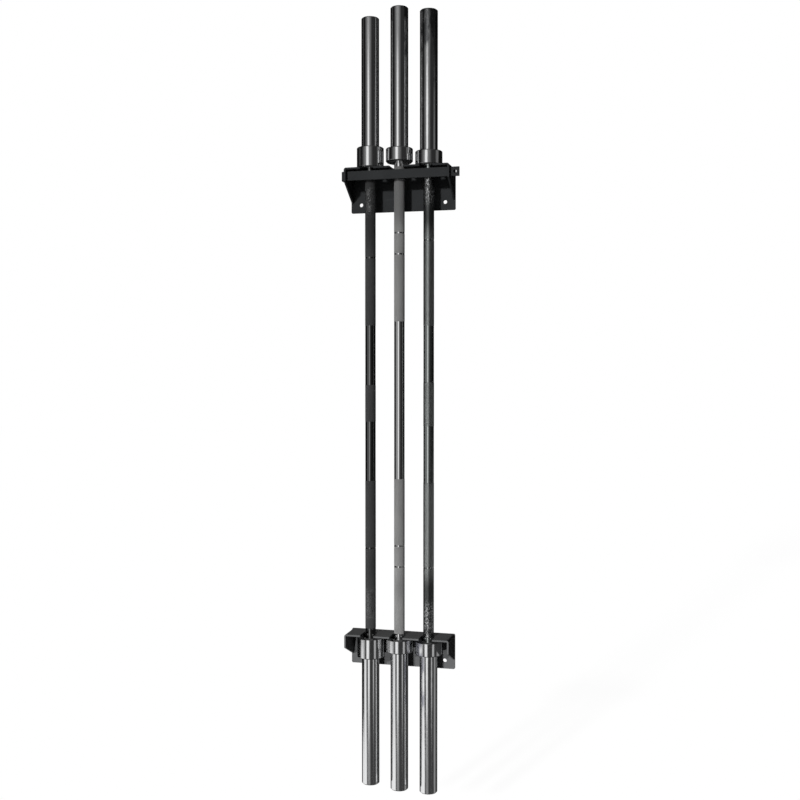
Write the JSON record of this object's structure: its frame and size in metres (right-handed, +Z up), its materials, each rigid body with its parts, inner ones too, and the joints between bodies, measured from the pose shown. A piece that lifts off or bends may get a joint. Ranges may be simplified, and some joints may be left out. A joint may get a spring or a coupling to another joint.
{
  "type": "barbell storage rack",
  "caption": "Wall rack that holds barbells upright in two slotted steel brackets, with a lock bar that slides across the upper one.",
  "frame": {"origin": "middle of the upper back plate's rear face, which lies on the wall", "axes": "+X to the right along the wall, +Y into the wall, +Z up along the barbells"},
  "size_m": [0.3393, 0.086, 2.2031],
  "materials": {
    "black_powder": "satin black powder coat",
    "dark_shaft": "dark knurled steel",
    "satin_shaft": "light satin knurled steel",
    "chrome_sleeve": "polished, with fine turning lines",
    "bronze": "plain bearing bronze",
    "plain_steel": "plain"
  },
  "bodies": {
    "brackets": {"upper_back_plate": "black_powder", "upper_shelf": "black_powder", "upper_weld": "black_powder", "lower_back_plate": "black_powder", "lower_shelf": "black_powder", "lower_weld": "black_powder"},
    "lock_bar": {"lock_bar": "black_powder"},
    "bar_left": {"bar_left_shaft": "dark_shaft", "bar_left_upper_thrust_washer": "plain_steel", "bar_left_upper_snap_ring": "plain_steel", "bar_left_lower_thrust_washer": "plain_steel", "bar_left_lower_snap_ring": "plain_steel"},
    "bar_left_upper_sleeve": {"bar_left_upper_sleeve": "chrome_sleeve", "bar_left_upper_collar": "chrome_sleeve", "bar_left_upper_inner_bushing": "bronze", "bar_left_upper_outer_bushing": "bronze", "bar_left_upper_end_cap": "chrome_sleeve"},
    "bar_left_lower_sleeve": {"bar_left_lower_sleeve": "chrome_sleeve", "bar_left_lower_collar": "chrome_sleeve", "bar_left_lower_inner_bushing": "bronze", "bar_left_lower_outer_bushing": "bronze", "bar_left_lower_end_cap": "chrome_sleeve"},
    "bar_middle": {"bar_middle_shaft": "satin_shaft", "bar_middle_upper_thrust_washer": "plain_steel", "bar_middle_upper_snap_ring": "plain_steel", "bar_middle_lower_thrust_washer": "plain_steel", "bar_middle_lower_snap_ring": "plain_steel"},
    "bar_middle_upper_sleeve": {"bar_middle_upper_sleeve": "chrome_sleeve", "bar_middle_upper_collar": "chrome_sleeve", "bar_middle_upper_inner_bushing": "bronze", "bar_middle_upper_outer_bushing": "bronze", "bar_middle_upper_end_cap": "chrome_sleeve"},
    "bar_middle_lower_sleeve": {"bar_middle_lower_sleeve": "chrome_sleeve", "bar_middle_lower_collar": "chrome_sleeve", "bar_middle_lower_inner_bushing": "bronze", "bar_middle_lower_outer_bushing": "bronze", "bar_middle_lower_end_cap": "chrome_sleeve"},
    "bar_right": {"bar_right_shaft": "dark_shaft", "bar_right_upper_thrust_washer": "plain_steel", "bar_right_upper_snap_ring": "plain_steel", "bar_right_lower_thrust_washer": "plain_steel", "bar_right_lower_snap_ring": "plain_steel"},
    "bar_right_upper_sleeve": {"bar_right_upper_sleeve": "chrome_sleeve", "bar_right_upper_collar": "chrome_sleeve", "bar_right_upper_inner_bushing": "bronze", "bar_right_upper_outer_bushing": "bronze", "bar_right_upper_end_cap": "chrome_sleeve"},
    "bar_right_lower_sleeve": {"bar_right_lower_sleeve": "chrome_sleeve", "bar_right_lower_collar": "chrome_sleeve", "bar_right_lower_inner_bushing": "bronze", "bar_right_lower_outer_bushing": "bronze", "bar_right_lower_end_cap": "chrome_sleeve"}
  },
  "joints": [
    {"name": "lock_bar_slide", "type": "slide", "parent": "brackets", "child": "lock_bar", "axis": [-1, 0, 0], "range_m": [0, 0.34]},
    {"name": "bar_left_lift", "type": "slide", "parent": "brackets", "child": "bar_left", "axis": [0, 0, 1], "range_m": [0, 0.003]},
    {"name": "bar_left_upper_sleeve_spin", "type": "hinge", "parent": "bar_left", "child": "bar_left_upper_sleeve", "pos_m": [-0.0847, -0.0445, 0.1188], "axis": [0, 0, 1], "continuous": true},
    {"name": "bar_left_lower_sleeve_spin", "type": "hinge", "parent": "bar_left", "child": "bar_left_lower_sleeve", "pos_m": [-0.0847, -0.0445, -1.3271], "axis": [0, 0, 1], "continuous": true},
    {"name": "bar_middle_lift", "type": "slide", "parent": "brackets", "child": "bar_middle", "axis": [0, 0, 1], "range_m": [0, 0.0032]},
    {"name": "bar_middle_upper_sleeve_spin", "type": "hinge", "parent": "bar_middle", "child": "bar_middle_upper_sleeve", "pos_m": [0, -0.0445, 0.132], "axis": [0, 0, 1], "continuous": true},
    {"name": "bar_middle_lower_sleeve_spin", "type": "hinge", "parent": "bar_middle", "child": "bar_middle_lower_sleeve", "pos_m": [0, -0.0445, -1.3261], "axis": [0, 0, 1], "continuous": true},
    {"name": "bar_right_lift", "type": "slide", "parent": "brackets", "child": "bar_right", "axis": [0, 0, 1], "range_m": [0, 0.004]},
    {"name": "bar_right_upper_sleeve_spin", "type": "hinge", "parent": "bar_right", "child": "bar_right_upper_sleeve", "pos_m": [0.0847, -0.0445, 0.1188], "axis": [0, 0, 1], "continuous": true},
    {"name": "bar_right_lower_sleeve_spin", "type": "hinge", "parent": "bar_right", "child": "bar_right_lower_sleeve", "pos_m": [0.0847, -0.0445, -1.3281], "axis": [0, 0, 1], "continuous": true}
  ]
}
